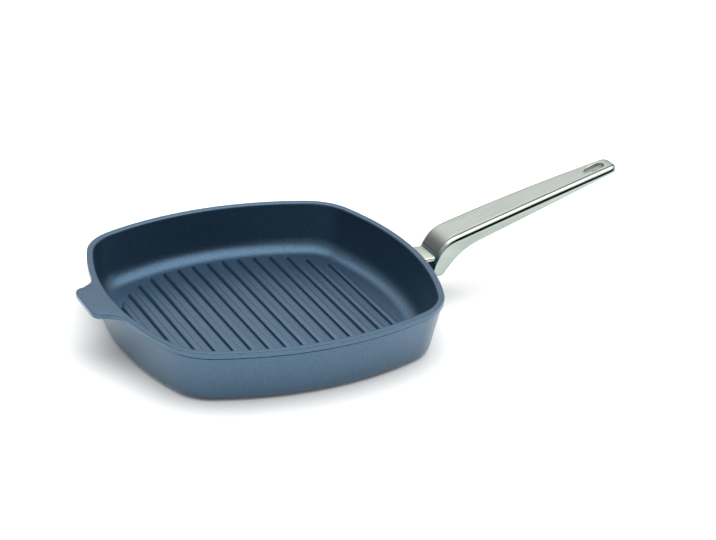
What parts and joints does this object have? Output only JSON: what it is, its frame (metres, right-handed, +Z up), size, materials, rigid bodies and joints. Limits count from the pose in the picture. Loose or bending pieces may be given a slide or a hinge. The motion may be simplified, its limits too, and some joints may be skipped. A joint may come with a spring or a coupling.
{
  "type": "square grill pan",
  "caption": "Square cast grill pan with bulging sides and round corners, a ribbed floor, a helper tab and a long cast handle with a hanging slot.",
  "frame": {"origin": "middle of the flat base, on the surface that the pan stands on", "axes": "+X from the pan's middle along the handle, with the helper tab at -X; +Y across, along the grill ribs; +Z up"},
  "size_m": [0.4953, 0.28, 0.0985],
  "materials": {
    "coated_aluminium": "speckled blue-grey non-stick coating",
    "stainless_plate": "polished",
    "stainless_casting": "brushed top, polished flanks",
    "spring_steel": "plain",
    "screw_steel": "plain"
  },
  "bodies": {
    "root": {"pan_body": "coated_aluminium", "heat_guard": "stainless_plate", "handle": "stainless_casting", "split_washer": "spring_steel", "handle_screw": "screw_steel"}
  },
  "joints": []
}
